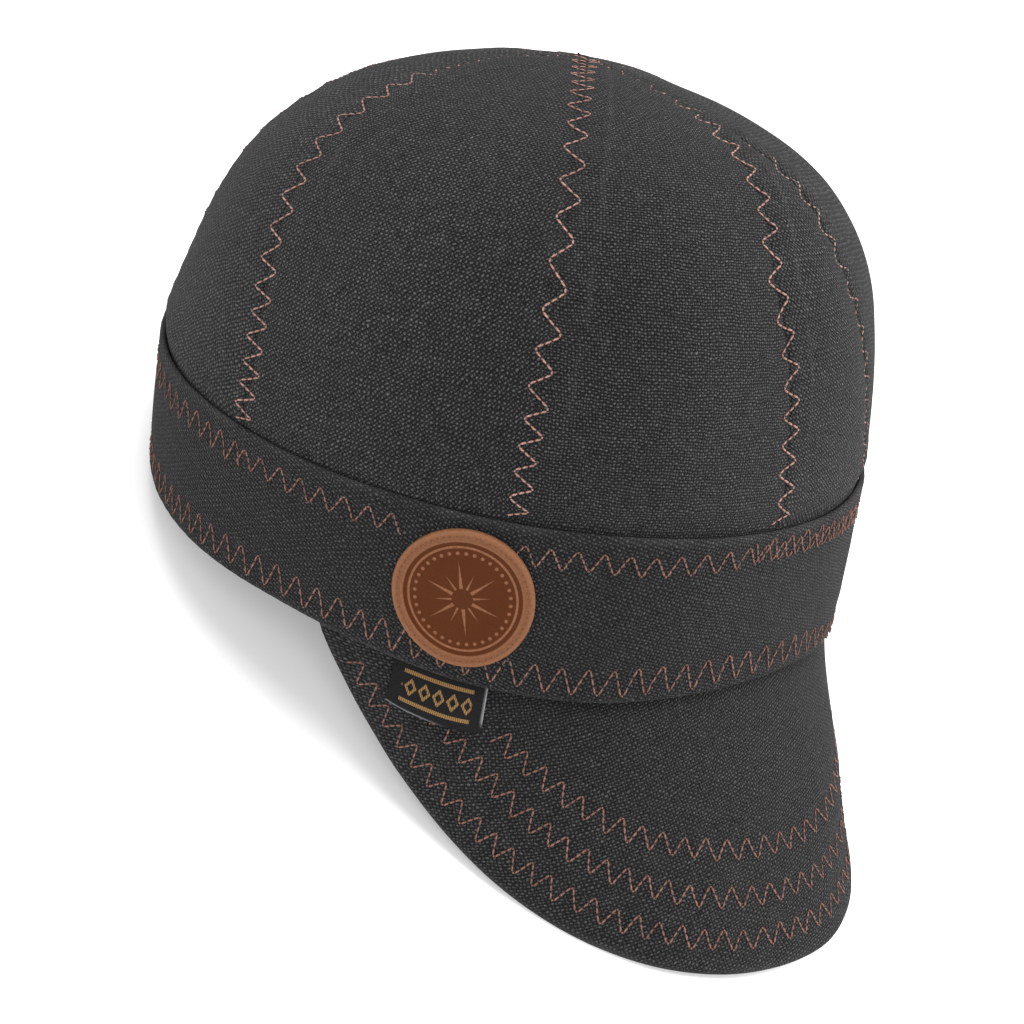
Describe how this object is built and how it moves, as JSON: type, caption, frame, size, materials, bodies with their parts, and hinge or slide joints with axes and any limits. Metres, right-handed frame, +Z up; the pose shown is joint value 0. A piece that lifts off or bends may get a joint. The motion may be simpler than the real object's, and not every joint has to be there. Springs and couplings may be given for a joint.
{
  "type": "welding cap",
  "caption": "Soft panelled cloth cap with a deep band, a short down-turned bill, a round leather patch and a small woven label.",
  "frame": {"origin": "centre of the bounding box, on the surface that the cap rests on", "axes": "+Z up from the surface, -Y towards the wearer's front and the bill, +X towards the wearer's left"},
  "size_m": [0.181, 0.2552, 0.1488],
  "materials": {
    "crown_canvas": "charcoal cotton duck, plain weave, matt",
    "band_canvas": "charcoal cotton duck, plain weave, matt",
    "bill_canvas": "charcoal cotton duck in two layers, matt",
    "patch_leather": "brown leather with a lighter tan rim",
    "label_weave": "black woven satin",
    "stitch_thread": "copper brown twisted thread"
  },
  "bodies": {
    "root": {"crown_panel_front_to_right_front": "crown_canvas", "crown_panel_right_front_to_right": "crown_canvas", "crown_panel_right_to_right_rear": "crown_canvas", "crown_panel_right_rear_to_rear": "crown_canvas", "crown_panel_rear_to_left_rear": "crown_canvas", "crown_panel_left_rear_to_left": "crown_canvas", "crown_panel_left_to_left_front": "crown_canvas", "crown_panel_left_front_to_front": "crown_canvas", "band": "band_canvas", "bill": "bill_canvas", "woven_label": "label_weave", "leather_patch": "patch_leather"}
  },
  "joints": []
}
